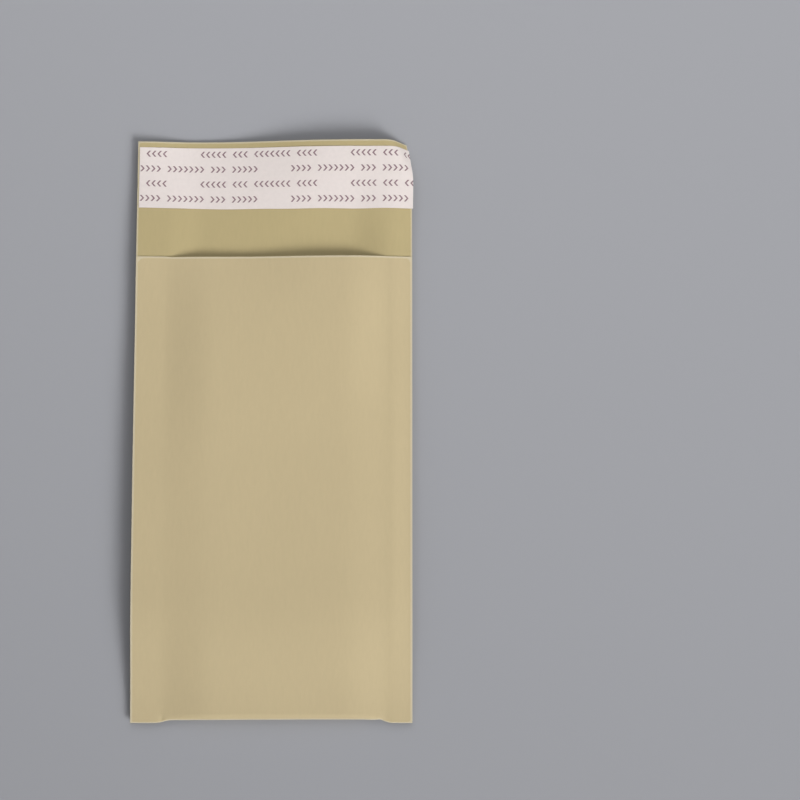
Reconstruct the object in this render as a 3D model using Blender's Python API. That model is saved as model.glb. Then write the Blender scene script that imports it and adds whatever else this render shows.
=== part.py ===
"""Padded mailing envelope in kraft paper, lying on its back with the flap open.

Four pieces: one folded kraft sheet, the bubble film lining folded inside it, the glue strip
on the flap and the peel-off liner that covers the glue.

+X runs across the envelope, +Y from the bottom fold to the flap's edge and +Z up from the
surface it lies on. The sizes below are in millimetres.
"""

from math import cos, hypot, pi, radians, sin

import bmesh
import bpy

MM = 0.001

# Outline
HALF_WIDTH = 55.0
LENGTH = 231.5
FLAP_LENGTH = 47.3
FOLD_Y = -LENGTH / 2
FLAP_EDGE_Y = LENGTH / 2
MOUTH_Y = FLAP_EDGE_Y - FLAP_LENGTH
BODY_LENGTH = MOUTH_Y - FOLD_Y

# Side seams: where each one's inner edge is, how thick the two plies and the film are, and
# the share of its height that the right one loses towards its outer edge
SEAM_LEFT = -43.6
SEAM_RIGHT = 46.0
SEAM_HALF_THICK = 0.3
SEAM_EDGE_DROP = 0.15
SEAM_FILL_RECESS = 0.2

# Thicknesses, and the clearance kept between neighbouring pieces
PAPER = 0.2
FILM = 1.6
GLUE = 0.1
LINER = 0.1
GAP = 0.3

# The padded panels: height of the front in the middle, at the fold and at the lip, and of the
# back at the mouth, how far it takes to change from one to the next, and how far in from the
# seams each panel levels out
CROWN = 8.4
FOLD_THICK = 4.6
LIP_Z = 6.9
BACK_MOUTH_Z = 1.8
SWELL_LENGTH = 45.0
CLOSING_LENGTH = 45.0
TOP_RISE_LEFT = 21.0
TOP_RISE_RIGHT = 18.5
RISE_FULLNESS = 0.75
BACK_RISE = 16.0

# Seam height above the table at the bottom corners, along the body and at the mouth
SEAM_CORNER_Z = 2.3
SEAM_BODY_Z = 6.9
SEAM_MOUTH_Z = 4.8
SEAM_RISE_LENGTH = 50.0
SEAM_FALL_START = 75.0

# The padding draws the bottom fold and the front lip in between the seams
FOLD_PULL_IN = 1.2
LIP_PULL_IN = 0.2
PULL_STEP_LEFT = (-45.2, 6.2)
PULL_STEP_RIGHT = (47.4, 6.2)

# The flap: height of its free edge at the left corner, in the dip and on the right
FLAP_LEFT_Z = 3.0
FLAP_DIP_X = -32.0
FLAP_DIP_Z = 1.0
FLAP_RIGHT_Z = 6.8
FLAP_RISE_END_X = 36.0

# The far right corner of the flap is curled down, up to the angle CURL_MOST, then runs straight
CURL_ALONG_TOP = 12.0
CURL_ALONG_SIDE = 23.0
CURL_RADIUS = 6.0
CURL_MOST = radians(50)

# Liner and glue on the flap's inner face
LINER_WIDTH = 25.0
LINER_TOP_MARGIN = 2.4
LINER_LEFT_MARGIN = 0.7
LINER_RIGHT_OVERHANG = 0.4
GLUE_WIDTH = 20.0
GLUE_SIDE_MARGIN = 3.0

# The lining: set back from the mouth, flattened towards its cut end, and with its layers
# pressed together near the seams
LINING_SETBACK = 12.0
LINING_END_SHARE = 0.35
LINING_HALF_WIDTH = 40.8
POCKET_HALF_WIDTH = 35.5
POCKET_START = 6.0
PRESSED_GAP = 0.2

# Mesh divisions: columns, rows, how much closer the rows are near the fold, the least room
# between the end of a piece and its next column, and the widest angle that shades as smooth
SEAM_COLUMNS = 3
RISE_COLUMNS = 7
PANEL_COLUMNS = 4
FLAP_ROWS = 12
BODY_ROWS = 10
LIP_ROWS = 6
PANEL_ROWS = BODY_ROWS + LIP_ROWS + 1
NOSE_ROWS = 6
ROW_CROWDING = 1.4
LEAST_COLUMN = 0.3
SHARP_ANGLE = radians(40)


def clear_scene():
    """Remove every object, so the model starts from nothing."""
    for item in list(bpy.data.objects):
        bpy.data.objects.remove(item, do_unlink=True)


def paint(name, colour, roughness):
    """A plain Principled material."""
    material = bpy.data.materials.new(name)
    material.use_nodes = True
    shader = material.node_tree.nodes["Principled BSDF"]
    shader.inputs["Base Color"].default_value = (*colour, 1.0)
    shader.inputs["Roughness"].default_value = roughness
    shader.inputs["Metallic"].default_value = 0.0
    return material


def kraft_paper():
    return paint("kraft_paper", (0.53, 0.44, 0.27), 0.8)


def bubble_film():
    return paint("bubble_film", (0.80, 0.82, 0.84), 0.3)


def glue_film():
    return paint("glue_film", (0.82, 0.78, 0.66), 0.4)


def liner_paper():
    return paint("liner_paper", (0.78, 0.74, 0.73), 0.5)


# Shape of the envelope, all in millimetres


def ease(u):
    """0 below 0, 1 above 1, and a smooth rise between."""
    u = min(max(u, 0.0), 1.0)
    return sin(u * pi / 2) ** 2


def between_seams(x):
    """1 across the padded part, falling to 0 at each seam in a short step."""
    start, width = PULL_STEP_LEFT
    end, right_width = PULL_STEP_RIGHT
    return ease((x - start) / width) * ease((end - x) / right_width)


def fold_tip(x):
    """Where the bottom fold ends."""
    return FOLD_Y + FOLD_PULL_IN * between_seams(x)


def lip_y(x):
    """Where the front panel's cut edge ends."""
    return MOUTH_Y - LIP_PULL_IN * between_seams(x)


def seam_z(x, y):
    """Middle height of the side seams. The right one slopes down to its outer edge."""
    t = y - FOLD_Y
    rise = ease(t / SEAM_RISE_LENGTH)
    fall = ease((t - SEAM_FALL_START) / (BODY_LENGTH - SEAM_FALL_START))
    middle = SEAM_CORNER_Z + (SEAM_BODY_Z - SEAM_CORNER_Z) * rise
    middle -= (SEAM_BODY_Z - SEAM_MOUTH_Z) * fall
    past = (x - SEAM_RIGHT) / (HALF_WIDTH - SEAM_RIGHT)
    return middle * (1.0 - SEAM_EDGE_DROP * ease(past))


def closing(y):
    """0 along the body, rising to 1 at the mouth, where the panels come closer together."""
    return max(1.0 - (MOUTH_Y - y) / CLOSING_LENGTH, 0.0) ** 2


def back_z(x, y):
    """Underside of the back panel: on the table, lifting to the seams and to the mouth."""
    middle = BACK_MOUTH_Z * closing(y)
    side = seam_z(x, y) - SEAM_HALF_THICK
    inside = min(x - SEAM_LEFT, SEAM_RIGHT - x)
    return side + (middle - side) * ease(inside / BACK_RISE)


def front_z(x, y):
    """Top of the front panel: it swells from the fold, and dips a little to the lip."""
    seam_top = seam_z(x, y) + SEAM_HALF_THICK
    thick = FOLD_THICK + (CROWN - FOLD_THICK) * ease((y - FOLD_Y) / SWELL_LENGTH)
    thick -= (CROWN - LIP_Z) * closing(y)
    left = ease((x - SEAM_LEFT) / TOP_RISE_LEFT)
    right = ease((SEAM_RIGHT - x) / TOP_RISE_RIGHT)
    return seam_top + (thick - seam_top) * (left * right) ** RISE_FULLNESS


def flap_edge_z(x):
    """Height of the flap's free edge before its corner curls."""
    left = 1.0 - ease((x + HALF_WIDTH) / (FLAP_DIP_X + HALF_WIDTH))
    right = ease((x - FLAP_DIP_X) / (FLAP_RISE_END_X - FLAP_DIP_X))
    high = (FLAP_LEFT_Z - FLAP_DIP_Z) * left + (FLAP_RIGHT_Z - FLAP_DIP_Z) * right
    return FLAP_DIP_Z + high


def flap_z(x, y):
    """Underside of the flap, from the mouth's shape to that of its free edge."""
    share = ease((y - MOUTH_Y) / FLAP_LENGTH)
    return back_z(x, MOUTH_Y) * (1.0 - share) + flap_edge_z(x) * share


def flap_point(x, y, lift):
    """A point lift above the flap's underside, with the far right corner curled down."""
    slant = hypot(CURL_ALONG_TOP, CURL_ALONG_SIDE)
    across, along = CURL_ALONG_SIDE / slant, CURL_ALONG_TOP / slant
    start_x = HALF_WIDTH - CURL_ALONG_TOP
    past = (x - start_x) * across + (y - FLAP_EDGE_Y) * along
    z = flap_z(x, y)
    if past <= 0.0:
        return x, y, z + lift
    turn = min(past / CURL_RADIUS, CURL_MOST)
    straight = past - turn * CURL_RADIUS
    inwards = past - (CURL_RADIUS + lift) * sin(turn) - straight * cos(turn)
    z += lift * cos(turn) - CURL_RADIUS * (1.0 - cos(turn)) - straight * sin(turn)
    return x - inwards * across, y - inwards * along, z


def fold_half(x):
    """Half the thickness of the bottom fold, which is how far its round nose reaches."""
    thin = SEAM_HALF_THICK
    return thin + (FOLD_THICK / 2 - thin) * between_seams(x)


def nose_point(x, angle):
    """A point on the bottom fold: angle 0 faces down, 180 degrees faces up."""
    reach = fold_half(x)
    y = fold_tip(x) + reach
    middle = (front_z(x, y) + back_z(x, y)) / 2
    half = (front_z(x, y) - back_z(x, y)) / 2
    return x, y - reach * sin(angle), middle - half * cos(angle)


def spread(start, end, count):
    """count + 1 even steps from start to end."""
    return [start + (end - start) * step / count for step in range(count + 1)]


def columns():
    """Places across the envelope, closer together where the panels bend."""
    stops = (
        (-HALF_WIDTH, SEAM_LEFT, SEAM_COLUMNS),
        (SEAM_LEFT, SEAM_LEFT + TOP_RISE_LEFT, RISE_COLUMNS),
        (SEAM_LEFT + TOP_RISE_LEFT, SEAM_RIGHT - TOP_RISE_RIGHT, PANEL_COLUMNS),
        (SEAM_RIGHT - TOP_RISE_RIGHT, SEAM_RIGHT, RISE_COLUMNS),
        (SEAM_RIGHT, HALF_WIDTH, SEAM_COLUMNS + 1),
    )
    places = [-HALF_WIDTH]
    for start, end, count in stops:
        places += spread(start, end, count)[1:]
    return places


def panel_rows(start, end):
    """Places along the envelope between two limits, closer near the fold and the mouth."""
    level_end = MOUTH_Y - CLOSING_LENGTH
    steps = [(step / BODY_ROWS) ** ROW_CROWDING for step in range(BODY_ROWS)]
    body = [start + (level_end - start) * step for step in steps]
    return body + spread(level_end, end, LIP_ROWS)


# Building blocks


def add_object(name, mesh_data, material):
    """Turn a bmesh into a smooth-shaded object."""
    mesh = bpy.data.meshes.new(name)
    mesh_data.to_mesh(mesh)
    mesh_data.free()
    mesh.shade_smooth()
    mesh.set_sharp_from_angle(angle=SHARP_ANGLE)
    item = bpy.data.objects.new(name, mesh)
    bpy.context.collection.objects.link(item)
    if material:
        mesh.materials.append(material)
    return item


def shaped_grid(mesh_data, across, along, place):
    """Add a grid of across by along points, moving each to place(column, row) in mm."""
    made = bmesh.ops.create_grid(
        mesh_data, x_segments=across - 1, y_segments=along - 1, size=1.0
    )
    for vertex in made["verts"]:
        column = round((vertex.co.x + 1.0) / 2.0 * (across - 1))
        row = round((vertex.co.y + 1.0) / 2.0 * (along - 1))
        vertex.co = [value * MM for value in place(column, row)]
    return made["verts"]


def closed_slab(places, rows, low, high):
    """A closed solid between two surfaces, low(x, row) and high(x, row)."""
    mesh_data = bmesh.new()
    for surface in (low, high):
        shaped_grid(
            mesh_data,
            len(places),
            rows,
            lambda column, row, surface=surface: surface(places[column], row),
        )
    rims = [edge for edge in mesh_data.edges if edge.is_boundary]
    bmesh.ops.bridge_loops(mesh_data, edges=rims)
    bmesh.ops.recalc_face_normals(mesh_data, faces=mesh_data.faces)
    return mesh_data


def hide_cutter(item):
    """Keep a helper solid out of the finished model."""
    item.hide_render = True
    item.display_type = "WIRE"


def combine(item, helper, operation):
    """Join or cut with a hidden helper solid."""
    hide_cutter(helper)
    modifier = item.modifiers.new(helper.name, "BOOLEAN")
    modifier.operation = operation
    modifier.solver = "EXACT"
    modifier.object = helper


def columns_between(start, end):
    """The columns between two limits, with one on each limit."""
    inner = [x for x in columns() if start + LEAST_COLUMN < x < end - LEAST_COLUMN]
    return [start, *inner, end]


def inside_places(half_width):
    """The columns within half_width of the middle, with one on each limit."""
    return columns_between(-half_width, half_width)


# The four pieces


def kraft_outer():
    """Flap, back panel, bottom fold and front panel in one folded sheet.

    The rows run from the flap's edge down the back, round the fold and up the front, so the
    sheet's faces look outwards and the paper's thickness goes inwards.
    """
    places = columns()
    flap_rows = spread(FLAP_EDGE_Y, MOUTH_Y, FLAP_ROWS)
    turns = spread(0.0, pi, NOSE_ROWS)[1:-1]

    def place(column, row):
        x = places[column]
        if row < FLAP_ROWS:
            return flap_point(x, flap_rows[row], 0.0)
        row -= FLAP_ROWS
        start = fold_tip(x) + fold_half(x)
        if row < PANEL_ROWS:
            y = panel_rows(start, MOUTH_Y)[PANEL_ROWS - 1 - row]
            return x, y, back_z(x, y)
        row -= PANEL_ROWS
        if row < len(turns):
            return nose_point(x, turns[row])
        y = panel_rows(start, lip_y(x))[row - len(turns)]
        return x, y, front_z(x, y)

    mesh_data = bmesh.new()
    rows = FLAP_ROWS + 2 * PANEL_ROWS + len(turns)
    shaped_grid(mesh_data, len(places), rows, place)
    item = add_object("kraft_outer", mesh_data, kraft_paper())
    wall = item.modifiers.new("paper", "SOLIDIFY")
    wall.thickness = PAPER * MM
    wall.offset = -1.0
    for name, limits in (
        ("left_seam", (-HALF_WIDTH + SEAM_FILL_RECESS, SEAM_LEFT)),
        ("right_seam", (SEAM_RIGHT, HALF_WIDTH - SEAM_FILL_RECESS)),
    ):
        combine(item, seam_fill(name, limits), "UNION")
    return item


def seam_fill(name, limits):
    """What joins the two plies along a side seam: the pressed film between them."""
    places = spread(limits[0], limits[1], SEAM_COLUMNS)
    rows = panel_rows(FOLD_Y + 2 * SEAM_HALF_THICK, MOUTH_Y - SEAM_FILL_RECESS)
    depth = SEAM_HALF_THICK - PAPER / 2

    def layer(side):
        def surface(x, row):
            return x, rows[row], seam_z(x, rows[row]) + side * depth

        return surface

    return add_object(name, closed_slab(places, PANEL_ROWS, layer(-1), layer(1)), None)


def between_panels(x, y, inset):
    """Heights that far inside both panels, kept just apart where the layers are pressed."""
    low = back_z(x, y) + inset
    high = front_z(x, y) - inset
    middle = (low + high) / 2
    half = max((high - low) / 2, PRESSED_GAP / 2)
    return middle - half, middle + half


def film_thickness(y):
    """Thickness of one layer of bubble film, less where its cut end is flattened."""
    flattening = (y - (MOUTH_Y - CLOSING_LENGTH)) / (CLOSING_LENGTH - LINING_SETBACK)
    return FILM * (1.0 - (1.0 - LINING_END_SHARE) * min(max(flattening, 0.0), 1.0))


def lining_layers(places, start, end, inset):
    """A closed solid between start and end, inset(y) from the outside of the envelope."""
    rows = panel_rows(start, end)

    def layer(side):
        def surface(x, row):
            y = rows[row]
            return x, y, between_panels(x, y, inset(y))[side]

        return surface

    return closed_slab(places, PANEL_ROWS, layer(0), layer(1))


def bubble_lining():
    """One folded bubble film: its layers meet at the fold and near the seams."""
    start = FOLD_Y + FOLD_PULL_IN + FOLD_THICK / 2
    end = MOUTH_Y - LINING_SETBACK
    outside = PAPER + GAP
    film = lining_layers(inside_places(LINING_HALF_WIDTH), start, end, lambda y: outside)
    item = add_object("bubble_lining", film, bubble_film())
    space = lining_layers(
        inside_places(POCKET_HALF_WIDTH),
        FOLD_Y + POCKET_START,
        MOUTH_Y,
        lambda y: outside + film_thickness(y),
    )
    combine(item, add_object("pocket_space", space, None), "DIFFERENCE")
    return item


def strip_on_flap(name, x_limits, y_limits, lift, thick, material):
    """A thin strip that follows the flap's inner face."""
    places = columns_between(*x_limits)
    count = FLAP_ROWS // 2
    along = spread(y_limits[0], y_limits[1], count)

    def low(x, row):
        return flap_point(x, along[row], lift)

    def high(x, row):
        return flap_point(x, along[row], lift + thick)

    return add_object(name, closed_slab(places, count + 1, low, high), material)


def adhesive_strip():
    """The closing glue, narrower than the liner over it."""
    middle = FLAP_EDGE_Y - LINER_TOP_MARGIN - LINER_WIDTH / 2
    side = HALF_WIDTH - GLUE_SIDE_MARGIN
    y_limits = (middle - GLUE_WIDTH / 2, middle + GLUE_WIDTH / 2)
    return strip_on_flap(
        "adhesive_strip", (-side, side), y_limits, PAPER + GAP, GLUE, glue_film()
    )


def release_liner():
    """The peel-off strip, laid slightly over the flap's right edge."""
    top = FLAP_EDGE_Y - LINER_TOP_MARGIN
    x_limits = (-HALF_WIDTH + LINER_LEFT_MARGIN, HALF_WIDTH + LINER_RIGHT_OVERHANG)
    lift = PAPER + GAP + GLUE + GAP
    return strip_on_flap(
        "release_liner", x_limits, (top - LINER_WIDTH, top), lift, LINER, liner_paper()
    )


clear_scene()
kraft_outer()
bubble_lining()
adhesive_strip()
release_liner()
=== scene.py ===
"""Looks of a padded kraft envelope lying open on a pale table.

It loads the fixed frame, models the visible paper, film, glue and liner around it, and sets
the stage.
"""

from math import cos, hypot, pi, radians, sin

import bmesh
import bpy
from bpy.props import FloatProperty, FloatVectorProperty, IntProperty, PointerProperty
from bpy.types import Operator, Panel, PropertyGroup
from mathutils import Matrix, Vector


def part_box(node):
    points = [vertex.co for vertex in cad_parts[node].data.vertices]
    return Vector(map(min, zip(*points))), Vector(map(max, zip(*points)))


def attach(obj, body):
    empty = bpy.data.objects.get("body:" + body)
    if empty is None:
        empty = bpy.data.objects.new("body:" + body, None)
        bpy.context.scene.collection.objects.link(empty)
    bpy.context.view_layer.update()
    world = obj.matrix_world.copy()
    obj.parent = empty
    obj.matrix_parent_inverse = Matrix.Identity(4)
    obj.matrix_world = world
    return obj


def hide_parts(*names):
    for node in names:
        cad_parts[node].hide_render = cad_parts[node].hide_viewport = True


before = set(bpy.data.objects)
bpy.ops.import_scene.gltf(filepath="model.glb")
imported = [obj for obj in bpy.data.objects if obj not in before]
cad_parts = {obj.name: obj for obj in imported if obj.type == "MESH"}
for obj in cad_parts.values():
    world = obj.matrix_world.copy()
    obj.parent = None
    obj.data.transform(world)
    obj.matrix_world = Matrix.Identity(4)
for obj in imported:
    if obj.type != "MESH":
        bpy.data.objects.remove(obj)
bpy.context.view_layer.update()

bl_info = {
    "name": "Padded envelope",
    "version": (1, 0, 0),
    "blender": (4, 5, 0),
    "location": "3D View > Sidebar > Padded envelope",
    "description": "Models a kraft padded envelope with its lining, glue and liner",
    "category": "Object",
}

MM = 0.001

# Places given by the frame
OUTER_LOW, OUTER_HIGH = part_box("kraft_outer")
LINING_LOW, LINING_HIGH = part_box("bubble_lining")
GLUE_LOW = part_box("adhesive_strip")[0]
LINER_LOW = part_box("release_liner")[0]
HALF_WIDTH = (OUTER_HIGH.x - OUTER_LOW.x) / 2
FOLD_Y = OUTER_LOW.y
FLAP_EDGE_Y = OUTER_HIGH.y
CROWN_Z = OUTER_HIGH.z

# Strips on the flap: their widths, how far they slope across it, and how far the liner overhangs
GLUE_WIDTH = 20 * MM
LINER_WIDTH = 25 * MM
LINER_SLOPE = -0.4 * MM
LINER_OVERHANG = 0.4 * MM

# Heights of the strips above the paper, and the glue's own thickness
GLUE_LIFT = 0.03 * MM
GLUE_THICKNESS = 0.06 * MM
LINER_LIFT = 0.13 * MM

# How the padded part levels out: inwards from the seams, up from the fold and to the mouth
SEAM_LEFT = -43.6 * MM
SEAM_RIGHT = 46 * MM
TOP_RISE_LEFT = 21 * MM
TOP_RISE_RIGHT = 18.5 * MM
RISE_FULLNESS = 0.75
CROWN_ROOM = 0.15 * MM
UNEVENNESS = 0.07 * MM
BACK_RISE = 16 * MM
SWELL_LENGTH = 45 * MM
CLOSING_LENGTH = 45 * MM
BACK_MOUTH_Z = 2.4 * MM

# The lip sags a little left of its middle: how deep, and where and how wide
LIP_SAG = 1.4 * MM
LIP_SAG_PLACE = (-11 * MM, 34 * MM)

# Bubble film: how deep its bubbles are, its own thickness, and how clear it is of the paper
BUBBLE_DEPTH = 1.6 * MM
FILM_THICKNESS = 0.08 * MM
LINING_CLEARANCE = 0.18 * MM

# Side seams: half their thickness, and their middle height at the fold, body and mouth
SEAM_HALF_THICK = 0.3 * MM
SEAM_CORNER_Z = 2.3 * MM
SEAM_BODY_Z = 6.9 * MM
SEAM_MOUTH_Z = 4.8 * MM
SEAM_RISE_LENGTH = 50 * MM
SEAM_FALL_START = 75 * MM
SEAM_EDGE_DROP = 0.15

# Steps in the fold and in the front lip where the padding draws the paper in
PULL_STEP_LEFT = (-45.2 * MM, 6.2 * MM)
PULL_STEP_RIGHT = (47.4 * MM, 6.2 * MM)
LIP_PULL_LEFT = 0.4 * MM
LIP_PULL_RIGHT = -0.2 * MM

# Heights of the flap's free edge, and where along it they lie
FLAP_LEFT_Z = 3.0 * MM
FLAP_DIP_X = -32 * MM
FLAP_DIP_Z = 1.0 * MM
FLAP_RIGHT_Z = 6.8 * MM
FLAP_RISE_END_X = 36 * MM

# The flap's curled corner: it bends up to the angle CURL_MOST, then runs straight to its tip
CURL_ALONG_TOP = 12 * MM
CURL_ALONG_SIDE = 23 * MM
CURL_RADIUS = 6 * MM
CURL_MOST = radians(50)

# How many steps each piece is divided into, and how the rows crowd towards the fold
FLAP_STEPS = 48
PANEL_STEPS = 92
NOSE_STEPS = 12
ROW_CROWDING = 1.25
SEAM_FILM_STEPS = (12, 90)
FLAT_FILM_STEPS = 60
STRIP_ROWS = 36
GLUE_COLUMNS = 110
LINER_COLUMNS = 150
DOME_SIDES = 14

# Light: strength of the room, and the place, size in metres, watts and beam of each soft box
ROOM_STRENGTH = 0.26
KEY_LIGHT = (Vector((2.0, -1.9, 2.0)), 1.7, 13.4, radians(50))
KEY_AIM = Vector((0.1, 0.6, 0.0))
TOP_LIGHT = (Vector((0.0, 0.5, 0.62)), 0.7, 1.85, radians(180))
TOP_AIM = Vector()

# Camera: how far it leans from straight down, how far off it is, and what it looks at
CAMERA_LEAN = radians(7)
CAMERA_DISTANCE = 0.892
CAMERA_LENS_MM = 100.9
CAMERA_TARGET = Vector((0.0502, 0.0114, 0.0))


def hex_colour(code):
    """An sRGB hex colour as linear red, green and blue."""
    channels = (int(code[start:start + 2], 16) / 255 for start in (0, 2, 4))
    return tuple(c / 12.92 if c <= 0.04045 else ((c + 0.055) / 1.055) ** 2.4 for c in channels)


class EnvelopeSizes(PropertyGroup):
    """Sizes that change the look without changing the frame."""

    flap_length: FloatProperty(
        name="Flap length",
        description="From the mouth to the flap's free edge",
        default=47.3 * MM, unit="LENGTH", precision=4,
    )
    paper: FloatProperty(
        name="Paper thickness",
        description="Thickness of the kraft sheet",
        default=0.24 * MM, unit="LENGTH", precision=5,
    )
    fold_thickness: FloatProperty(
        name="Fold thickness",
        description="Height of the bottom fold between the seams",
        default=4.6 * MM, unit="LENGTH", precision=4,
    )
    lip_height: FloatProperty(
        name="Lip height",
        description="Height of the front panel's cut edge between the seams",
        default=6.9 * MM, unit="LENGTH", precision=4,
    )
    fold_pull_in: FloatProperty(
        name="Fold pull-in",
        description="How far the padding draws the bottom fold in between the seams",
        default=1.2 * MM, unit="LENGTH", precision=4,
    )
    bubble: FloatProperty(
        name="Bubble diameter",
        description="Width of one bubble in the lining",
        default=9.6 * MM, unit="LENGTH", precision=4,
    )
    bubble_pitch: FloatProperty(
        name="Bubble pitch",
        description="From the middle of one bubble to the next",
        default=11 * MM, unit="LENGTH", precision=4,
    )
    liner: FloatProperty(
        name="Liner thickness",
        description="Thickness of the peel-off liner",
        default=0.08 * MM, unit="LENGTH", precision=5,
    )
    mark_height: FloatProperty(
        name="Mark height",
        description="Height of the small arrowheads printed on the liner",
        default=2.5 * MM, unit="LENGTH", precision=4,
    )
    columns_per_cm: IntProperty(
        name="Columns per centimetre",
        description="How finely the paper is divided across its width",
        default=10, min=4, max=16,
    )


class EnvelopeColours(PropertyGroup):
    """Colours of the envelope and of the table it lies on."""

    outside: FloatVectorProperty(
        name="Kraft, outside", description="Outer face of the kraft paper",
        subtype="COLOR", size=3, min=0.0, max=1.0, default=hex_colour("C6B58F"),
    )
    # Darker and more olive than the outside: partly the inner face's own tone, partly painted shade
    # on the flap's inner face.
    inside: FloatVectorProperty(
        name="Kraft, inside", description="Inner face of the kraft paper",
        subtype="COLOR", size=3, min=0.0, max=1.0, default=hex_colour("B9A97D"),
    )
    # Pale cut fibres and pressed film. On the kraft sheet the same colour paints the pale band along
    # the sides, flap edge, lip and fold: partly pale cut fibre, partly painted highlight where those
    # edges catch the light.
    cut_edge_and_highlight: FloatVectorProperty(
        name="Cut edge", description="Pale fibres and film along the cut edges",
        subtype="COLOR", size=3, min=0.0, max=1.0, default=hex_colour("D9D2BE"),
    )
    liner: FloatVectorProperty(
        name="Liner", description="Glassine of the peel-off liner",
        subtype="COLOR", size=3, min=0.0, max=1.0, default=hex_colour("E5DBD7"),
    )
    print_ink: FloatVectorProperty(
        name="Print", description="Ink of the arrowheads on the liner",
        subtype="COLOR", size=3, min=0.0, max=1.0, default=hex_colour("7A5662"),
    )
    film: FloatVectorProperty(
        name="Bubble film", description="Polyethylene of the lining",
        subtype="COLOR", size=3, min=0.0, max=1.0, default=hex_colour("DDE2E6"),
    )
    glue: FloatVectorProperty(
        name="Glue", description="Hot-melt glue under the liner",
        subtype="COLOR", size=3, min=0.0, max=1.0, default=hex_colour("D8D0B8"),
    )
    table: FloatVectorProperty(
        name="Table", description="Pale surface under the envelope",
        subtype="COLOR", size=3, min=0.0, max=1.0, default=hex_colour("A3A4A9"),
    )


# The envelope's shape, in metres


def ease(u):
    """0 below 0, 1 above 1, and a smooth rise between."""
    u = min(max(u, 0.0), 1.0)
    return sin(u * pi / 2) ** 2


def bump(x, centre, width):
    """1 at centre, falling smoothly to 0 at width from it."""
    return ease(1.0 - abs(x - centre) / width)


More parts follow.
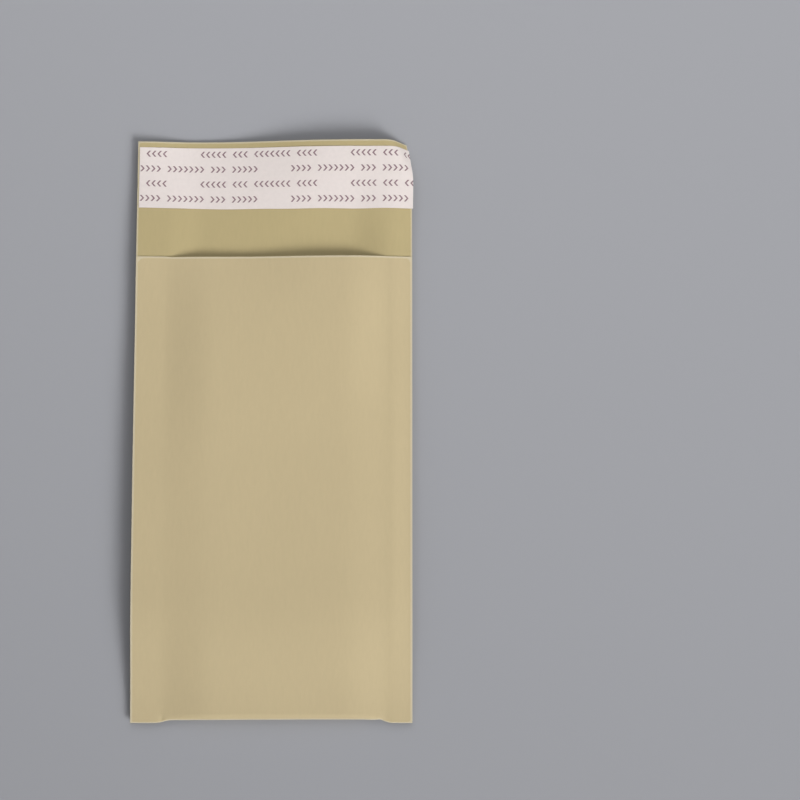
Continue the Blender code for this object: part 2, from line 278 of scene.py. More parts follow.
class EnvelopeShape:
    """Heights of the paper at every place, worked out from the frame and the sizes."""

    def __init__(self, sizes):
        self.sizes = sizes
        self.mouth_y = FLAP_EDGE_Y - sizes.flap_length

    def between_seams(self, x):
        """1 across the padded part, falling to 0 at each seam in a short step."""
        start, width = PULL_STEP_LEFT
        end, right_width = PULL_STEP_RIGHT
        return ease((x - start) / width) * ease((end - x) / right_width)

    def fold_half(self, x):
        """How far the round nose of the bottom fold reaches."""
        full = self.sizes.fold_thickness / 2
        return SEAM_HALF_THICK + (full - SEAM_HALF_THICK) * self.between_seams(x)

    def fold_tip(self, x):
        """Where the bottom fold ends, with the small kink beside the right seam."""
        kink = 0.18 * MM * bump(x, 42.6 * MM, 1.6 * MM) - 0.12 * MM * bump(x, 39 * MM, 4 * MM)
        sway = 0.15 * MM * sin(x / (26 * MM) + 0.6)
        drawn = self.sizes.fold_pull_in + sway
        return FOLD_Y + drawn * self.between_seams(x) + kink

    def lip_y(self, x):
        """Where the front panel's cut edge ends."""
        share = ease((x + HALF_WIDTH) / (2 * HALF_WIDTH))
        pull = LIP_PULL_LEFT + (LIP_PULL_RIGHT - LIP_PULL_LEFT) * share
        return self.mouth_y - pull * self.between_seams(x)

    def seam_z(self, x, y):
        """Middle height of the side seams. The right one slopes down to its outer edge."""
        t = y - FOLD_Y
        length = self.mouth_y - FOLD_Y
        rise = ease(t / SEAM_RISE_LENGTH)
        fall = ease((t - SEAM_FALL_START) / (length - SEAM_FALL_START))
        middle = SEAM_CORNER_Z + (SEAM_BODY_Z - SEAM_CORNER_Z) * rise
        middle -= (SEAM_BODY_Z - SEAM_MOUTH_Z) * fall
        past = (x - SEAM_RIGHT) / (HALF_WIDTH - SEAM_RIGHT)
        ripple = 0.06 * MM * sin(y / (9 * MM)) * ease(abs(x) / HALF_WIDTH * 4 - 3)
        return middle * (1.0 - SEAM_EDGE_DROP * ease(past)) + ripple

    def closing(self, y):
        """0 along the body, rising to 1 at the mouth, where the panels come closer together."""
        return max(1.0 - (self.mouth_y - y) / CLOSING_LENGTH, 0.0) ** 2

    def back_z(self, x, y):
        """Underside of the back panel: on the table, lifting to the seams and to the mouth."""
        middle = BACK_MOUTH_Z * self.closing(y)
        side = self.seam_z(x, y) - SEAM_HALF_THICK
        inside = min(x - SEAM_LEFT, SEAM_RIGHT - x)
        return side + (middle - side) * ease(inside / BACK_RISE)

    def front_z(self, x, y):
        """Top of the front panel, with the soft unevenness of the padding."""
        seam_top = self.seam_z(x, y) + SEAM_HALF_THICK
        fold = self.sizes.fold_thickness
        thick = fold + (CROWN_Z - CROWN_ROOM - fold) * ease((y - FOLD_Y) / SWELL_LENGTH)
        lip = self.sizes.lip_height - LIP_SAG * bump(x, *LIP_SAG_PLACE)
        thick -= (CROWN_Z - lip) * self.closing(y)
        left = ease((x - SEAM_LEFT) / TOP_RISE_LEFT)
        right = ease((SEAM_RIGHT - x) / TOP_RISE_RIGHT)
        full = (left * right) ** RISE_FULLNESS
        soft = sin(x / (11 * MM) + y / (37 * MM)) + sin(y / (17 * MM) - x / (29 * MM))
        uneven = UNEVENNESS * soft * full
        return seam_top + (thick - seam_top) * full + uneven + self.dimples(x, y)

    def dimples(self, x, y):
        """Small dents where the fold meets the ends of the seams."""
        from_fold = y - FOLD_Y
        left = -0.35 * MM * bump(x, -42.8 * MM, 1.4 * MM) * bump(from_fold, 1.2 * MM, 2.4 * MM)
        crease = x - 43.0 * MM + 0.8 * (from_fold - 2.0 * MM)
        right = bump(crease, 0.0, 1.1 * MM) - bump(crease, 1.6 * MM, 1.3 * MM)
        return left + 0.22 * MM * right * bump(from_fold, 1.5 * MM, 3.5 * MM)

    def flap_edge_z(self, x):
        """Height of the flap's free edge before its corner curls."""
        left = 1.0 - ease((x + HALF_WIDTH) / (FLAP_DIP_X + HALF_WIDTH))
        right = ease((x - FLAP_DIP_X) / (FLAP_RISE_END_X - FLAP_DIP_X))
        high = (FLAP_LEFT_Z - FLAP_DIP_Z) * left + (FLAP_RIGHT_Z - FLAP_DIP_Z) * right
        return FLAP_DIP_Z + high + 0.12 * MM * sin(x / (7.5 * MM))

    def flap_z(self, x, y):
        """Underside of the flap, from the mouth's shape to that of its free edge."""
        share = ease((y - self.mouth_y) / self.sizes.flap_length)
        return self.back_z(x, self.mouth_y) * (1.0 - share) + self.flap_edge_z(x) * share

    def flap_point(self, x, y, lift):
        """A point lift above the flap's underside, with the far right corner curled down."""
        slant = hypot(CURL_ALONG_TOP, CURL_ALONG_SIDE)
        across, along = CURL_ALONG_SIDE / slant, CURL_ALONG_TOP / slant
        start_x = HALF_WIDTH - CURL_ALONG_TOP
        past = (x - start_x) * across + (y - FLAP_EDGE_Y) * along
        z = self.flap_z(x, y)
        if past <= 0.0:
            return Vector((x, y, z + lift))
        turn = min(past / CURL_RADIUS, CURL_MOST)
        straight = past - turn * CURL_RADIUS
        inwards = past - (CURL_RADIUS + lift) * sin(turn) - straight * cos(turn)
        z += lift * cos(turn) - CURL_RADIUS * (1.0 - cos(turn)) - straight * sin(turn)
        return Vector((x - inwards * across, y - inwards * along, z))

    def nose_point(self, x, angle):
        """A point on the bottom fold: angle 0 faces down, 180 degrees faces up."""
        reach = self.fold_half(x)
        y = self.fold_tip(x) + reach
        middle = (self.front_z(x, y) + self.back_z(x, y)) / 2
        half = (self.front_z(x, y) - self.back_z(x, y)) / 2
        return Vector((x, y - reach * sin(angle), middle - half * cos(angle)))

    def between_panels(self, x, y, inset):
        """Heights that far inside both panels, kept just apart where they are pressed."""
        low = self.back_z(x, y) + inset
        high = self.front_z(x, y) - inset
        middle = (low + high) / 2
        half = max((high - low) / 2, 0.1 * MM)
        return middle - half, middle + half


# Building blocks


def spread(start, end, count):
    """count + 1 even steps from start to end."""
    return [start + (end - start) * step / count for step in range(count + 1)]


def dense_spread(stops, per_metre):
    """Steps through (place, density) stops, each stretch divided by its own density."""
    places = [stops[0][0]]
    for (start, density), (end, _) in zip(stops, stops[1:]):
        places += spread(start, end, max(round((end - start) * per_metre * density), 1))[1:]
    return places


def shaped_grid(mesh_data, across, along, place):
    """A grid of across by along points, each moved to place(column, row)."""
    made = bmesh.ops.create_grid(mesh_data, x_segments=across - 1, y_segments=along - 1, size=1.0)
    found = {}
    for vertex in made["verts"]:
        column = round((vertex.co.x + 1.0) / 2.0 * (across - 1))
        row = round((vertex.co.y + 1.0) / 2.0 * (along - 1))
        vertex.co = place(column, row)
        found[column, row] = vertex
    return found


def add_piece(name, mesh_data, materials):
    """Turn a bmesh into a smooth piece that rides on the frame's one body."""
    mesh = bpy.data.meshes.new(name)
    for edge in mesh_data.edges:
        edge.smooth = not edge.is_boundary
    for face in mesh_data.faces:
        face.smooth = True
    mesh_data.to_mesh(mesh)
    mesh_data.free()
    piece = bpy.data.objects.new(name, mesh)
    bpy.context.scene.collection.objects.link(piece)
    for material in materials:
        mesh.materials.append(material)
    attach(piece, "root")
    return piece


def give_thickness(piece, thickness, towards, other_side=0, rim=0):
    """Add a wall to an open sheet: towards is -1 for against its normals, 1 for along."""
    wall = piece.modifiers.new("thickness", "SOLIDIFY")
    wall.thickness = thickness
    wall.offset = towards
    wall.material_offset = other_side
    wall.material_offset_rim = rim


# Materials


def add_node(tree, kind, settings=None, links=None):
    """Add a node, set its properties and inputs by name or number, and link its inputs."""
    node = tree.nodes.new(kind)
    for key, value in (settings or {}).items():
        if isinstance(key, int) or key in node.inputs:
            node.inputs[key].default_value = value
        else:
            setattr(node, key, value)
    for key, source in (links or {}).items():
        tree.links.new(source, node.inputs[key])
    return node


def new_material(name):
    """An empty node material with its output, as (material, tree, output)."""
    material = bpy.data.materials.new(name)
    material.use_nodes = True
    tree = material.node_tree
    tree.nodes.clear()
    return material, tree, add_node(tree, "ShaderNodeOutputMaterial")


def shade_of(colour, factor):
    """The colour made lighter or darker by a factor, as red, green, blue and alpha."""
    return (*(channel * factor for channel in colour), 1.0)


def kraft_paper(name, colour, edge_and_highlight_colour, edge_width):
    """Machine-finished kraft: matt long-fibred paper, faintly mottled, with a pale band along its
    cut edges, lip and fold that is partly pale cut fibre and partly painted highlight.

    The fibres run with the web, along the envelope, and show as soft streaks about 0.5 mm
    wide. Clouds some 20 mm across come from uneven pulp.
    """
    material, tree, output = new_material(name)
    place = add_node(tree, "ShaderNodeTexCoord").outputs["Object"]
    stretch = add_node(tree, "ShaderNodeMapping", {"Scale": (1.0, 0.22, 1.0)}, {"Vector": place})
    streaks = add_node(
        tree, "ShaderNodeTexNoise",
        {"Scale": 1 / (1.1 * MM), "Detail": 5.0, "Roughness": 0.62},
        {"Vector": stretch.outputs["Vector"]},
    )
    clouds = add_node(
        tree, "ShaderNodeTexNoise",
        {"Scale": 1 / (22 * MM), "Detail": 2.0, "Roughness": 0.5}, {"Vector": place},
    )
    streak_tone = add_node(
        tree, "ShaderNodeMix",
        {"data_type": "RGBA", 6: shade_of(colour, 0.955), 7: shade_of(colour, 1.045)},
        {0: streaks.outputs["Fac"]},
    )
    cloud_range = add_node(
        tree, "ShaderNodeMapRange",
        {"From Min": 0.3, "From Max": 0.7, "To Min": 0.0, "To Max": 0.10},
        {"Value": clouds.outputs["Fac"]},
    )
    tone = add_node(
        tree, "ShaderNodeMix",
        {"data_type": "RGBA", 7: shade_of(colour, 0.82)},
        {0: cloud_range.outputs["Result"], 6: streak_tone.outputs[2]},
    )
    rough_cut = add_node(
        tree, "ShaderNodeTexNoise",
        {"Scale": 1 / (1.6 * MM), "Detail": 3.0}, {"Vector": place},
    )
    from_edge = add_node(tree, "ShaderNodeAttribute", {"attribute_name": "edge"}).outputs["Fac"]
    ragged = add_node(
        tree, "ShaderNodeMath", {"operation": "MULTIPLY_ADD", 1: -0.35 * MM},
        {0: rough_cut.outputs["Fac"], 2: from_edge},
    )
    # Pale band near the cut edges, lip and fold tip: partly pale cut fibre, partly a painted
    # highlight where these edges catch the light.
    pale = add_node(
        tree, "ShaderNodeMapRange",
        {"interpolation_type": "SMOOTHSTEP", "From Min": edge_width * 0.35,
         "From Max": edge_width, "To Min": 0.42, "To Max": 0.0},
        {"Value": ragged.outputs["Value"]},
    )
    final = add_node(
        tree, "ShaderNodeMix", {"data_type": "RGBA", 7: shade_of(edge_and_highlight_colour, 1.0)},
        {0: pale.outputs["Result"], 6: tone.outputs[2]},
    )
    relief = add_node(
        tree, "ShaderNodeBump", {"Strength": 0.12, "Distance": 0.05 * MM},
        {"Height": streaks.outputs["Fac"]},
    )
    paper = add_node(
        tree, "ShaderNodeBsdfPrincipled",
        {"Roughness": 0.72, "Specular IOR Level": 0.35, "Sheen Weight": 0.05},
        {"Base Color": final.outputs[2], "Normal": relief.outputs["Normal"]},
    )
    tree.links.new(paper.outputs["BSDF"], output.inputs["Surface"])
    return material


def cut_paper(colour):
    """Torn fibre ends along a cut: paler and rougher than the paper's face."""
    material, tree, output = new_material("cut_kraft_edge")
    place = add_node(tree, "ShaderNodeTexCoord").outputs["Object"]
    fibres = add_node(
        tree, "ShaderNodeTexNoise", {"Scale": 1 / (0.5 * MM), "Detail": 3.0}, {"Vector": place}
    )
    tone = add_node(
        tree, "ShaderNodeMix",
        {"data_type": "RGBA", 6: shade_of(colour, 0.86), 7: shade_of(colour, 1.08)},
        {0: fibres.outputs["Fac"]},
    )
    edge = add_node(
        tree, "ShaderNodeBsdfPrincipled", {"Roughness": 0.9, "Specular IOR Level": 0.2},
        {"Base Color": tone.outputs[2]},
    )
    tree.links.new(edge.outputs["BSDF"], output.inputs["Surface"])
    return material


def polyethylene_film(colour):
    """Clear low-density polyethylene: milky where it is thick, with a soft greasy shine."""
    material, tree, output = new_material("bubble_polyethylene")
    place = add_node(tree, "ShaderNodeTexCoord").outputs["Object"]
    haze = add_node(
        tree, "ShaderNodeTexNoise", {"Scale": 1 / (6 * MM), "Detail": 3.0}, {"Vector": place}
    )
    tone = add_node(
        tree, "ShaderNodeMix",
        {"data_type": "RGBA", 6: shade_of(colour, 0.92), 7: shade_of(colour, 1.0)},
        {0: haze.outputs["Fac"]},
    )
    wrinkle = add_node(
        tree, "ShaderNodeBump", {"Strength": 0.25, "Distance": 0.2 * MM},
        {"Height": haze.outputs["Fac"]},
    )
    film = add_node(
        tree, "ShaderNodeBsdfPrincipled",
        {"Roughness": 0.22, "IOR": 1.5, "Transmission Weight": 0.45, "Coat Weight": 0.2},
        {"Base Color": tone.outputs[2], "Normal": wrinkle.outputs["Normal"]},
    )
    tree.links.new(film.outputs["BSDF"], output.inputs["Surface"])
    return material


def hot_melt_glue(colour):
    """Pressure-sensitive hot melt: a thin, slightly yellow film with a wet shine."""
    material, tree, output = new_material("hot_melt_glue")
    place = add_node(tree, "ShaderNodeTexCoord").outputs["Object"]
    runs = add_node(
        tree, "ShaderNodeTexNoise", {"Scale": 1 / (2.5 * MM), "Detail": 2.0}, {"Vector": place}
    )
    tone = add_node(
        tree, "ShaderNodeMix",
        {"data_type": "RGBA", 6: shade_of(colour, 0.9), 7: shade_of(colour, 1.03)},
        {0: runs.outputs["Fac"]},
    )
    ripple = add_node(
        tree, "ShaderNodeBump", {"Strength": 0.3, "Distance": 0.1 * MM},
        {"Height": runs.outputs["Fac"]},
    )
    glue = add_node(
        tree, "ShaderNodeBsdfPrincipled",
        {"Roughness": 0.15, "IOR": 1.48, "Transmission Weight": 0.2},
        {"Base Color": tone.outputs[2], "Normal": ripple.outputs["Normal"]},
    )
    tree.links.new(glue.outputs["BSDF"], output.inputs["Surface"])
    return material


# Print on the liner: rows of small arrowheads in groups, with every other row turned round
PRINT_ROW_PITCH = 6.13 * MM
PRINT_FIRST_ROW = 2.75 * MM
MARK_PITCH = 2.16 * MM
MARKS_PER_REPEAT = 28
TURNED_ROW_SHIFT = 0.185
MARK_STROKE = 0.17
GROUP_ENDS = (0, 4, 5, 12, 13, 16, 17, 22)


def arrowhead_print(tree, mark_height):
    """How much ink there is at a place on the liner, from its own map in metres."""
    layout = add_node(tree, "ShaderNodeUVMap", {"uv_map": "strip"}).outputs["UV"]
    axes = add_node(tree, "ShaderNodeSeparateXYZ", None, {"Vector": layout})
    shift = MARKS_PER_REPEAT * MARK_PITCH * TURNED_ROW_SHIFT
    share = mark_height / PRINT_ROW_PITCH
    steps = (
        ("row_place", "MULTIPLY_ADD", "v", 1 / PRINT_ROW_PITCH, -PRINT_FIRST_ROW / PRINT_ROW_PITCH),
        ("row", "FLOOR", "row_place"),
        ("in_row", "FRACT", "row_place"),
        ("turned", "FLOORED_MODULO", "row", 2.0),
        ("direction", "MULTIPLY_ADD", "turned", -2.0, 1.0),
        ("signed", "MULTIPLY", "u", "direction"),
        ("moved", "MULTIPLY_ADD", "turned", shift, "signed"),
        ("marks", "DIVIDE", "moved", MARK_PITCH),
        ("mark", "FLOOR", "marks"),
        ("in_mark", "FRACT", "marks"),
        ("height", "DIVIDE", "in_row", share),
        ("off_middle", "SUBTRACT", "height", 0.5),
        ("slope", "ABSOLUTE", "off_middle"),
        ("line", "MULTIPLY_ADD", "slope", -1.0, 0.78),
        ("gap", "SUBTRACT", "in_mark", "line"),
        ("distance", "ABSOLUTE", "gap"),
        ("stroke", "LESS_THAN", "distance", MARK_STROKE),
        ("inside", "LESS_THAN", "height", 1.0),
        ("mark_number", "FLOORED_MODULO", "mark", float(MARKS_PER_REPEAT)),
        ("group_place", "MULTIPLY_ADD", "mark_number", 1 / MARKS_PER_REPEAT, 0.5 / MARKS_PER_REPEAT),
    )
    values = {"u": axes.outputs["X"], "v": axes.outputs["Y"]}
    for name, operation, *inputs in steps:
        settings = {"operation": operation}
        settings.update((n, v) for n, v in enumerate(inputs) if not isinstance(v, str))
        links = {n: values[v] for n, v in enumerate(inputs) if isinstance(v, str)}
        values[name] = add_node(tree, "ShaderNodeMath", settings, links).outputs["Value"]
    groups = add_node(tree, "ShaderNodeValToRGB", None, {"Fac": values["group_place"]})
    ramp = groups.color_ramp
    ramp.interpolation = "CONSTANT"
    ramp.elements.remove(ramp.elements[1])
    ramp.elements[0].color = (1.0, 1.0, 1.0, 1.0)
    for number, end in enumerate(GROUP_ENDS[1:], 1):
        shown = 1.0 if number % 2 == 0 else 0.0
        ramp.elements.new(end / MARKS_PER_REPEAT).color = (shown, shown, shown, 1.0)
    drawn = add_node(
        tree, "ShaderNodeMath", {"operation": "MULTIPLY"},
        {0: values["stroke"], 1: values["inside"]},
    )
    return add_node(
        tree, "ShaderNodeMath", {"operation": "MULTIPLY"},
        {0: drawn.outputs["Value"], 1: groups.outputs["Color"]},
    ).outputs["Value"]


def glassine(colour, ink, mark_height):
    """Silicone-coated glassine: dense, slightly pink-white paper with a satin face.

    Its print is thin flexographic ink, soft at the edges and a little uneven.
    """
    material, tree, output = new_material("printed_glassine")
    place = add_node(tree, "ShaderNodeTexCoord").outputs["Object"]
    cloud = add_node(
        tree, "ShaderNodeTexNoise", {"Scale": 1 / (1.4 * MM), "Detail": 4.0}, {"Vector": place}
    )
    tone = add_node(
        tree, "ShaderNodeMix",
        {"data_type": "RGBA", 6: shade_of(colour, 0.95), 7: shade_of(colour, 1.05)},
        {0: cloud.outputs["Fac"]},
    )
    wear = add_node(
        tree, "ShaderNodeMapRange", {"To Min": 0.75, "To Max": 1.0},
        {"Value": cloud.outputs["Fac"]},
    )
    inked = add_node(
        tree, "ShaderNodeMath", {"operation": "MULTIPLY"},
        {0: arrowhead_print(tree, mark_height), 1: wear.outputs["Result"]},
    )
    printed = add_node(
        tree, "ShaderNodeMix", {"data_type": "RGBA", 7: shade_of(ink, 1.0)},
        {0: inked.outputs["Value"], 6: tone.outputs[2]},
    )
    relief = add_node(
        tree, "ShaderNodeBump", {"Strength": 0.06, "Distance": 0.03 * MM},
        {"Height": cloud.outputs["Fac"]},
    )
    paper = add_node(
        tree, "ShaderNodeBsdfPrincipled",
        {"Roughness": 0.52, "Specular IOR Level": 0.35},
        {"Base Color": printed.outputs[2], "Normal": relief.outputs["Normal"]},
    )
    tree.links.new(paper.outputs["BSDF"], output.inputs["Surface"])
    return material


def table_paint(colour):
    """Matt painted board: a plain pale grey with hardly any texture."""
    material, tree, output = new_material("matt_painted_table")
    board = add_node(
        tree, "ShaderNodeBsdfPrincipled",
        {"Base Color": shade_of(colour, 1.0), "Roughness": 0.9, "Specular IOR Level": 0.15},
    )
    tree.links.new(board.outputs["BSDF"], output.inputs["Surface"])
    return material


# The pieces


class PaddedEnvelopeKraftSheet(Operator):
    """Model the folded kraft sheet: flap, back panel, bottom fold and front panel"""

    bl_idname = "padded_envelope.kraft_sheet"
    bl_label = "Kraft sheet"

    def execute(self, context):
        sizes = context.scene.envelope_sizes
        colours = context.scene.envelope_colours
        shape = EnvelopeShape(sizes)
        places = self.columns(shape, sizes.columns_per_cm * 100)
        flap_rows = spread(FLAP_EDGE_Y, shape.mouth_y, FLAP_STEPS)
        shares = [share ** ROW_CROWDING for share in spread(0.0, 1.0, PANEL_STEPS)]
        turns = spread(0.0, pi, NOSE_STEPS)[1:-1]

        def panel_y(x, share, end):
            start = shape.fold_tip(x) + shape.fold_half(x)
            return start + (end - start) * share

        def place(column, row):
            x = places[column]
            if row < len(flap_rows) - 1:
                return shape.flap_point(x, flap_rows[row], 0.0)
            row -= len(flap_rows) - 1
            if row < len(shares):
                y = panel_y(x, shares[-1 - row], shape.mouth_y)
                return Vector((x, y, shape.back_z(x, y)))
            row -= len(shares)
            if row < len(turns):
                return shape.nose_point(x, turns[row])
            y = panel_y(x, shares[row - len(turns)], shape.lip_y(x))
            return Vector((x, y, shape.front_z(x, y)))

        mesh_data = bmesh.new()
        layer = mesh_data.verts.layers.float.new("edge")
        rows = len(flap_rows) - 1 + 2 * len(shares) + len(turns)
        grid = shaped_grid(mesh_data, len(places), rows, place)
        self.mark_edges(mesh_data, layer, grid, places, rows)
        # Both kraft faces get the pale band of partly pale cut fibre and partly painted highlight
        # along their edges, lip and fold.
        kraft = kraft_paper("kraft_outside", colours.outside, colours.cut_edge_and_highlight, 0.75 * MM)
        inner = kraft_paper("kraft_inside", colours.inside, colours.cut_edge_and_highlight, 0.6 * MM)
        edge = cut_paper(colours.cut_edge_and_highlight)
        piece = add_piece("kraft_sheet", mesh_data, (kraft, inner, edge))
        give_thickness(piece, sizes.paper, -1.0, other_side=1, rim=2)
        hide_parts("kraft_outer")
        return {"FINISHED"}

    def columns(self, shape, per_metre):
        """Places across the sheet, closer where it bends and along its cut edges."""
        near = 0.8 * MM
        return dense_spread(
            (
                (-HALF_WIDTH, 4.0), (-HALF_WIDTH + near, 0.9), (SEAM_LEFT, 1.7),
                (SEAM_LEFT + TOP_RISE_LEFT, 0.6), (SEAM_RIGHT - TOP_RISE_RIGHT, 1.7),
                (SEAM_RIGHT + 3 * MM, 1.2), (HALF_WIDTH - near, 4.0), (HALF_WIDTH, 1.0),
            ),
            per_metre,
        )

    def mark_edges(self, mesh_data, layer, grid, places, rows):
        """Store how far each point is from the nearest cut edge or from the fold's tip."""
        fold_y = min(vertex.co.y for vertex in mesh_data.verts)
        for (column, row), vertex in grid.items():
            side = HALF_WIDTH - abs(places[column])
            flap = (vertex.co - grid[column, 0].co).length
            # Along the lip the pale band is partly the pale cut edge and partly a painted highlight
            # on the lifted lip.
            lip = (vertex.co - grid[column, rows - 1].co).length
            fold = vertex.co.y - fold_y
            # At the bottom fold, which has no cut edge, the pale band is a painted highlight on the
            # fold's round nose, with a little fold wear.
            if row > rows / 4 and vertex.co.y < 0:
                tip_y = min(grid[column, r].co.y for r in range(rows // 2 - 20, rows // 2 + 60))
                fold = (vertex.co.y - tip_y) * 1.6 + 0.1 * MM
            vertex[layer] = min(side, flap, lip, max(fold, 0.0))


class PaddedEnvelopeSeamFilm(Operator):
    """Model the pressed edge of the lining that is caught in each side seam"""

    bl_idname = "padded_envelope.seam_film"
    bl_label = "Seam film"

    def execute(self, context):
        sizes = context.scene.envelope_sizes
        shape = EnvelopeShape(sizes)
        material = cut_paper(context.scene.envelope_colours.cut_edge_and_highlight)
        material.name = "pressed_seam_film"
        limits = {
            "seam_film_left": (-HALF_WIDTH - 0.05 * MM, SEAM_LEFT),
            "seam_film_right": (SEAM_RIGHT, HALF_WIDTH + 0.05 * MM),
        }
        thickness = 2 * (SEAM_HALF_THICK - sizes.paper)
        start, end = FOLD_Y + 0.7 * MM, shape.mouth_y - 0.1 * MM
        for name, (low, high) in limits.items():
            places = spread(low, high, SEAM_FILM_STEPS[0])
            along = spread(start, end, SEAM_FILM_STEPS[1])

            def place(column, row, places=places, along=along):
                x, y = places[column], along[row]
                return Vector((x, y, shape.seam_z(x, y)))

            mesh_data = bmesh.new()
            shaped_grid(mesh_data, len(places), len(along), place)
            piece = add_piece(name, mesh_data, (material,))
            give_thickness(piece, thickness * 0.9, 0.0)
        return {"FINISHED"}


class PaddedEnvelopeBubbleLining(Operator):
    """Model the folded bubble film, bubbles against the paper and flat side to the pocket"""

    bl_idname = "padded_envelope.bubble_lining"
    bl_label = "Bubble lining"

    def execute(self, context):
        sizes = context.scene.envelope_sizes
        shape = EnvelopeShape(sizes)
        half = min(-LINING_LOW.x, LINING_HIGH.x)
        self.inset = sizes.paper + LINING_CLEARANCE
        mesh_data = bmesh.new()
        self.add_flat_film(mesh_data, shape, half)
        bmesh.ops.solidify(mesh_data, geom=mesh_data.faces[:], thickness=FILM_THICKNESS)
        self.add_bubbles(mesh_data, shape, half)
        material = polyethylene_film(context.scene.envelope_colours.film)
        piece = add_piece("bubble_film_lining", mesh_data, (material,))
        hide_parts("bubble_lining")
        return {"FINISHED"}

    def add_flat_film(self, mesh_data, shape, half):
        """The smooth layer that faces the pocket, folded at the bottom."""
        places = spread(-half, half, FLAT_FILM_STEPS)
        shares = spread(0.0, 1.0, FLAT_FILM_STEPS)
        start, end = LINING_LOW.y + 1.5 * MM, LINING_HIGH.y
        inset = self.inset + BUBBLE_DEPTH

        def place(column, row):
            x = places[column]
            back = row < len(shares)
            share = shares[-1 - row] if back else shares[row - len(shares)]
            y = start + (end - start) * share
            low, high = shape.between_panels(x, y, inset)
            return Vector((x, y, low if back else high))

        shaped_grid(mesh_data, len(places), 2 * len(shares), place)

    def add_bubbles(self, mesh_data, shape, half):
        """Rows of round bubbles, every other row moved by half a pitch."""
        sizes = shape.sizes
        dome = self.bubble_mesh(sizes.bubble / 2)
        row_pitch = sizes.bubble_pitch * sin(pi / 3)
        rows = int((LINING_HIGH.y - LINING_LOW.y - sizes.bubble) / row_pitch)
        for row in range(rows + 1):
            y = LINING_HIGH.y - sizes.bubble / 2 - row * row_pitch
            first = -half + sizes.bubble / 2 + (row % 2) * sizes.bubble_pitch / 2
            count = int((half - sizes.bubble / 2 - first) / sizes.bubble_pitch) + 1
            for number in range(count):
                x = first + number * sizes.bubble_pitch
                self.add_pair(mesh_data, dome, shape, x, y)
        bpy.data.meshes.remove(dome)

    def add_pair(self, mesh_data, dome, shape, x, y):
        """One bubble on each layer, standing on the film and pressed flat by the paper."""
        for side in (0, 1):
            made, made_faces = len(mesh_data.verts), len(mesh_data.faces)
            mesh_data.from_mesh(dome)
            mesh_data.verts.ensure_lookup_table()
            mesh_data.faces.ensure_lookup_table()
            for vertex in mesh_data.verts[made:]:
                share = vertex.co.z
                across, along = vertex.co.x + x, vertex.co.y + y
                outer = shape.between_panels(across, along, self.inset)[side]
                inner = shape.between_panels(across, along, self.inset + BUBBLE_DEPTH)[side]
                vertex.co = (across, along, inner + (outer - inner) * share)
            if side == 0:
                bmesh.ops.reverse_faces(mesh_data, faces=mesh_data.faces[made_faces:])

    def bubble_mesh(self, radius):
        """A flat-topped bubble of height 1 standing on its flat base."""
        mesh_data = bmesh.new()
        bmesh.ops.create_cone(
            mesh_data, cap_ends=True, segments=DOME_SIDES,
            radius1=radius, radius2=radius * 0.9, depth=1.0,
        )
        bmesh.ops.translate(mesh_data, vec=(0, 0, 0.5), verts=mesh_data.verts)
        bmesh.ops.scale(mesh_data, vec=(1, 1, 2 * MM), verts=mesh_data.verts)
        top = [edge for edge in mesh_data.edges if min(v.co.z for v in edge.verts) > MM]
        bmesh.ops.bevel(
            mesh_data, geom=top, offset=0.8 * MM, segments=2, profile=0.5, affect="EDGES"
        )
        bmesh.ops.scale(mesh_data, vec=(1, 1, 0.5 / MM), verts=mesh_data.verts)
        mesh = bpy.data.meshes.new("bubble")
        mesh_data.to_mesh(mesh)
        mesh_data.free()
        return mesh


def strip_on_flap(shape, x_places, y_limits, lift, wave, slope):
    """A strip over the flap's inner face, laid with a slope, with its own map in metres."""
    along = spread(*y_limits, STRIP_ROWS)
    mesh_data = bmesh.new()
    layout = mesh_data.loops.layers.uv.new("strip")

    def place(column, row):
        x = x_places[column]
        share = row / (len(along) - 1)
        y = along[row] + wave(x) * (1.0 - share) + slope * (x + HALF_WIDTH) / (2 * HALF_WIDTH)
        return shape.flap_point(x, y, lift(x, share) + shape.sizes.paper)

    grid = shaped_grid(mesh_data, len(x_places), len(along), place)
    found = {vertex: key for key, vertex in grid.items()}
    for face in mesh_data.faces:
        for loop in face.loops:
            column, row = found[loop.vert]
            loop[layout].uv = (x_places[column] - x_places[0], along[row] - along[0])
    return mesh_data


class PaddedEnvelopeGlue(Operator):
    """Model the strip of closing glue under the liner"""

    bl_idname = "padded_envelope.glue"
    bl_label = "Glue strip"

    def execute(self, context):
        sizes = context.scene.envelope_sizes
        shape = EnvelopeShape(sizes)
        mesh_data = strip_on_flap(
            shape, spread(GLUE_LOW.x, -GLUE_LOW.x, GLUE_COLUMNS),
            (GLUE_LOW.y, GLUE_LOW.y + GLUE_WIDTH),
            lambda x, share: GLUE_LIFT, lambda x: 0.25 * MM * sin(x / (5 * MM)), LINER_SLOPE,
        )
        material = hot_melt_glue(context.scene.envelope_colours.glue)
        piece = add_piece("glue_strip", mesh_data, (material,))
        give_thickness(piece, GLUE_THICKNESS, 1.0)
        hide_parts("adhesive_strip")
        return {"FINISHED"}


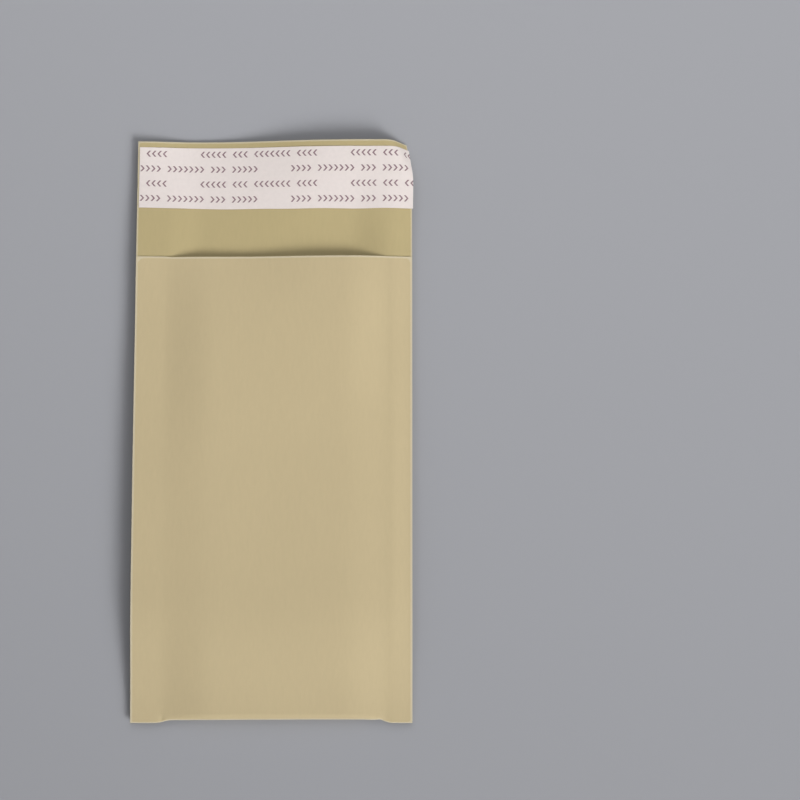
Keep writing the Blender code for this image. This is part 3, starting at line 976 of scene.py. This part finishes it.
class PaddedEnvelopeLiner(Operator):
    """Model the printed peel-off liner over the glue"""

    bl_idname = "padded_envelope.liner"
    bl_label = "Release liner"

    def execute(self, context):
        sizes = context.scene.envelope_sizes
        colours = context.scene.envelope_colours
        shape = EnvelopeShape(sizes)
        places = spread(LINER_LOW.x, HALF_WIDTH + LINER_OVERHANG, LINER_COLUMNS)

        def lift(x, share):
            """Just above the glue, and a touch higher along the free edges."""
            edge = ease(abs(2.0 * share - 1.0) * 6 - 5)
            return LINER_LIFT + 0.07 * MM * edge * (1.0 + sin(x / (8 * MM))) / 2

        def wave(x):
            """The lower edge is cut slightly unevenly."""
            return 0.1 * MM * sin(x / (13 * MM)) - 0.06 * MM * sin(x / (4 * MM))

        limits = (LINER_LOW.y, LINER_LOW.y + LINER_WIDTH)
        mesh_data = strip_on_flap(shape, places, limits, lift, wave, LINER_SLOPE)
        material = glassine(colours.liner, colours.print_ink, sizes.mark_height)
        piece = add_piece("release_liner_strip", mesh_data, (material,))
        give_thickness(piece, sizes.liner, 1.0)
        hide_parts("release_liner")
        return {"FINISHED"}


class PaddedEnvelopeStage(Operator):
    """Set out the table, the soft lights and the camera"""

    bl_idname = "padded_envelope.stage"
    bl_label = "Stage"

    def execute(self, context):
        self.add_table(context)
        self.add_lights(context)
        self.add_camera(context)
        context.scene.view_settings.view_transform = "Standard"
        return {"FINISHED"}

    def add_table(self, context):
        mesh_data = bmesh.new()
        bmesh.ops.create_grid(mesh_data, x_segments=4, y_segments=4, size=3.0)
        bmesh.ops.translate(mesh_data, vec=(0, 0, -0.02 * MM), verts=mesh_data.verts)
        mesh = bpy.data.meshes.new("table")
        mesh_data.to_mesh(mesh)
        mesh_data.free()
        mesh.materials.append(table_paint(context.scene.envelope_colours.table))
        table = bpy.data.objects.new("table", mesh)
        context.scene.collection.objects.link(table)

    def add_lights(self, context):
        """A large soft box on the near right, aimed past the flap, one above, and an even room."""
        world = bpy.data.worlds.new("pale_room")
        world.use_nodes = True
        world.node_tree.nodes["Background"].inputs["Color"].default_value = (1, 1, 1, 1)
        world.node_tree.nodes["Background"].inputs["Strength"].default_value = ROOM_STRENGTH
        context.scene.world = world
        self.add_soft_box("key_light", KEY_AIM, *KEY_LIGHT)
        self.add_soft_box("top_light", TOP_AIM, *TOP_LIGHT)

    def add_soft_box(self, name, aim, place, size, power, beam):
        """A square light, size metres wide, with a grid that narrows its beam."""
        light = bpy.data.lights.new(name, "AREA")
        light.shape = "SQUARE"
        light.size = size
        light.energy = power
        light.spread = beam
        lamp = bpy.data.objects.new(name, light)
        lamp.location = place
        lamp.rotation_euler = (aim - place).to_track_quat("-Z", "Y").to_euler()
        bpy.context.scene.collection.objects.link(lamp)

    def add_camera(self, context):
        camera = bpy.data.cameras.new("camera")
        camera.lens = CAMERA_LENS_MM
        camera.sensor_width = 36.0
        camera.clip_end = 20.0
        holder = bpy.data.objects.new("camera", camera)
        offset = Vector((0.0, -sin(CAMERA_LEAN), cos(CAMERA_LEAN))) * CAMERA_DISTANCE
        holder.location = CAMERA_TARGET + offset
        holder.rotation_euler = (CAMERA_LEAN, 0.0, 0.0)
        context.scene.collection.objects.link(holder)
        context.scene.camera = holder


class PaddedEnvelopePanel(Panel):
    """Lists the sizes, the colours and the pieces"""

    bl_idname = "VIEW3D_PT_padded_envelope"
    bl_label = "Padded envelope"
    bl_space_type = "VIEW_3D"
    bl_region_type = "UI"
    bl_category = "Padded envelope"

    def draw(self, context):
        for group in (context.scene.envelope_sizes, context.scene.envelope_colours):
            column = self.layout.column()
            for name in group.__annotations__:
                column.prop(group, name)
        for operator in OPERATORS:
            self.layout.operator(operator.bl_idname)


OPERATORS = (
    PaddedEnvelopeKraftSheet,
    PaddedEnvelopeSeamFilm,
    PaddedEnvelopeBubbleLining,
    PaddedEnvelopeGlue,
    PaddedEnvelopeLiner,
    PaddedEnvelopeStage,
)
CLASSES = (EnvelopeSizes, EnvelopeColours, *OPERATORS, PaddedEnvelopePanel)


def register():
    for item in CLASSES:
        bpy.utils.register_class(item)
    bpy.types.Scene.envelope_sizes = PointerProperty(type=EnvelopeSizes)
    bpy.types.Scene.envelope_colours = PointerProperty(type=EnvelopeColours)


def unregister():
    del bpy.types.Scene.envelope_colours
    del bpy.types.Scene.envelope_sizes
    for item in reversed(CLASSES):
        bpy.utils.unregister_class(item)


def main():
    """Make every piece in order."""
    register()
    bpy.ops.padded_envelope.kraft_sheet()
    bpy.ops.padded_envelope.seam_film()
    bpy.ops.padded_envelope.bubble_lining()
    bpy.ops.padded_envelope.glue()
    bpy.ops.padded_envelope.liner()
    bpy.ops.padded_envelope.stage()


if __name__ == "__main__":
    main()
